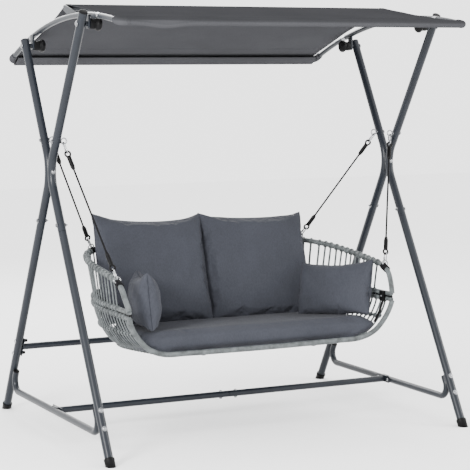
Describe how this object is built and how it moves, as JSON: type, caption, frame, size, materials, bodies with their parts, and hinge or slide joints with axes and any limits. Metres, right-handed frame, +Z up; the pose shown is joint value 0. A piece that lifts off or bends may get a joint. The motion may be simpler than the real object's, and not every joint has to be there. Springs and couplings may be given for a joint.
{
  "type": "porch swing",
  "caption": "Free-standing garden swing: a cushioned wicker basket seat hangs on ropes from a tubular frame under a fabric canopy.",
  "frame": {"origin": "on the ground, at the middle of the object's footprint", "axes": "+Z up, +X along the width, -Y the way the sitter faces"},
  "size_m": [1.669, 1.363, 1.7957],
  "materials": {
    "frame_steel": "dark slate powder coat, semi-gloss",
    "black_plastic": "moulded black plastic",
    "bright_steel": "zinc-plated steel",
    "wicker": "grey woven resin strand",
    "rope_fibre": "black braided rope",
    "canopy_cloth": "dark grey plain-weave polyester",
    "cushion_cloth": "slate grey woven upholstery"
  },
  "bodies": {
    "frame": {"left_front_leg": "frame_steel", "left_front_post": "frame_steel", "left_front_post_cap": "black_plastic", "left_front_foot_cap": "black_plastic", "left_front_canopy_bolt": "bright_steel", "left_front_eye_bolt": "bright_steel", "left_rear_leg": "frame_steel", "left_rear_post": "frame_steel", "left_rear_post_cap": "black_plastic", "left_rear_foot_cap": "black_plastic", "left_rear_canopy_bolt": "bright_steel", "left_rear_eye_bolt": "bright_steel", "left_side_bar": "frame_steel", "left_stretcher_half": "frame_steel", "canopy_left_rail": "frame_steel", "right_front_leg": "frame_steel", "right_front_post": "frame_steel", "right_front_post_cap": "black_plastic", "right_front_foot_cap": "black_plastic", "right_front_canopy_bolt": "bright_steel", "right_front_eye_bolt": "bright_steel", "right_rear_leg": "frame_steel", "right_rear_post": "frame_steel", "right_rear_post_cap": "black_plastic", "right_rear_foot_cap": "black_plastic", "right_rear_canopy_bolt": "bright_steel", "right_rear_eye_bolt": "bright_steel", "right_side_bar": "frame_steel", "right_stretcher_half": "frame_steel", "canopy_right_rail": "frame_steel", "rear_crossbar": "frame_steel", "canopy_rear_bar": "frame_steel", "canopy_front_bar": "frame_steel", "canopy_ridge_bar": "frame_steel", "canopy_fabric": "canopy_cloth"},
    "seat": {"basket_back_frame": "wicker", "basket_back_weave": "wicker", "basket_seat_frame": "wicker", "basket_seat_weave": "wicker", "seat_cushion": "cushion_cloth", "left_back_cushion": "cushion_cloth", "right_back_cushion": "cushion_cloth", "left_arm_cushion": "cushion_cloth", "right_arm_cushion": "cushion_cloth"},
    "front_ropes": {"left_front_snap_hook": "bright_steel", "left_front_rope": "rope_fibre", "left_front_link": "bright_steel", "right_front_snap_hook": "bright_steel", "right_front_rope": "rope_fibre", "right_front_link": "bright_steel"},
    "rear_ropes": {"left_rear_snap_hook": "bright_steel", "left_rear_rope": "rope_fibre", "left_rear_link": "bright_steel", "right_rear_snap_hook": "bright_steel", "right_rear_rope": "rope_fibre", "right_rear_link": "bright_steel"},
    "left_front_knob_body": {"left_front_knob": "black_plastic"},
    "left_rear_knob_body": {"left_rear_knob": "black_plastic"},
    "right_front_knob_body": {"right_front_knob": "black_plastic"},
    "right_rear_knob_body": {"right_rear_knob": "black_plastic"}
  },
  "joints": [
    {"name": "seat_swing", "type": "hinge", "parent": "frame", "child": "seat", "pos_m": [0, 0.0055, 1.3885], "axis": [1, 0, 0], "range_deg": [-15, 15]},
    {"name": "front_ropes_swing", "type": "hinge", "parent": "frame", "child": "front_ropes", "pos_m": [0, -0.05592, 1.226], "axis": [1, 0, 0], "range_deg": [-21, 21]},
    {"name": "rear_ropes_swing", "type": "hinge", "parent": "frame", "child": "rear_ropes", "pos_m": [0, 0.086, 1.226], "axis": [1, 0, 0], "range_deg": [-21, 21]},
    {"name": "left_front_knob_turn", "type": "hinge", "parent": "frame", "child": "left_front_knob_body", "pos_m": [-0.76, -0.35705, 1.708], "axis": [-1, 0, 0], "continuous": true},
    {"name": "left_rear_knob_turn", "type": "hinge", "parent": "frame", "child": "left_rear_knob_body", "pos_m": [-0.76, 0.30618, 1.631], "axis": [-1, 0, 0], "continuous": true},
    {"name": "right_front_knob_turn", "type": "hinge", "parent": "frame", "child": "right_front_knob_body", "pos_m": [0.76, -0.35705, 1.708], "axis": [1, 0, 0], "continuous": true},
    {"name": "right_rear_knob_turn", "type": "hinge", "parent": "frame", "child": "right_rear_knob_body", "pos_m": [0.76, 0.30618, 1.631], "axis": [1, 0, 0], "continuous": true}
  ],
  "couplings": [
    {"joint": "front_ropes_swing", "follows": "seat_swing", "ratio": 1.3035},
    {"joint": "rear_ropes_swing", "follows": "seat_swing", "ratio": 1.3518}
  ]
}
